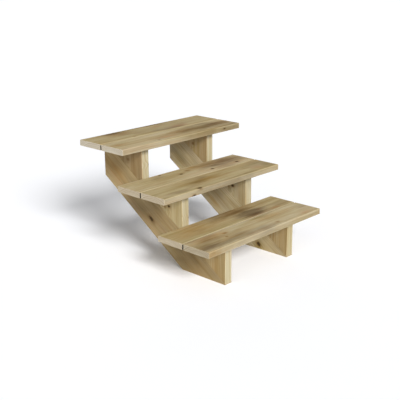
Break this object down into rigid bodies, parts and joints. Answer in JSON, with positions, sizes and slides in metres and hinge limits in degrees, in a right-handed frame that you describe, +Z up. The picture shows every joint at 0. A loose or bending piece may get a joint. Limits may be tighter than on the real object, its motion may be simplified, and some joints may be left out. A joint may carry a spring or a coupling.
{
  "type": "outdoor wooden staircase",
  "caption": "Short open-riser outdoor wooden stair with split-board treads on built-up sawtooth stringers, plumb cut at the back to go against a deck.",
  "frame": {"origin": "middle of the left stringer's plumb cut back face, the face that goes flat against the deck; the ground is about 446 mm below it", "axes": "+X along the treads to the right, seen by someone about to climb; +Y back towards the deck, the way the stair climbs; +Z up"},
  "size_m": [0.8, 0.841, 0.5635],
  "materials": {
    "tread_boards": "planed treated pine, lightly weathered, matte",
    "step_blocks": "planed treated pine with upright grain, matte",
    "stringer_boards": "planed treated pine, browner, matte"
  },
  "bodies": {
    "root": {"left_stringer_board": "stringer_boards", "left_step_block_1": "step_blocks", "left_step_block_2": "step_blocks", "left_step_block_3": "step_blocks", "right_stringer_board": "stringer_boards", "right_step_block_1": "step_blocks", "right_step_block_2": "step_blocks", "right_step_block_3": "step_blocks", "tread_1_front_board": "tread_boards", "tread_1_back_board": "tread_boards", "tread_2_front_board": "tread_boards", "tread_2_back_board": "tread_boards", "tread_3_front_board": "tread_boards", "tread_3_back_board": "tread_boards"}
  },
  "joints": []
}
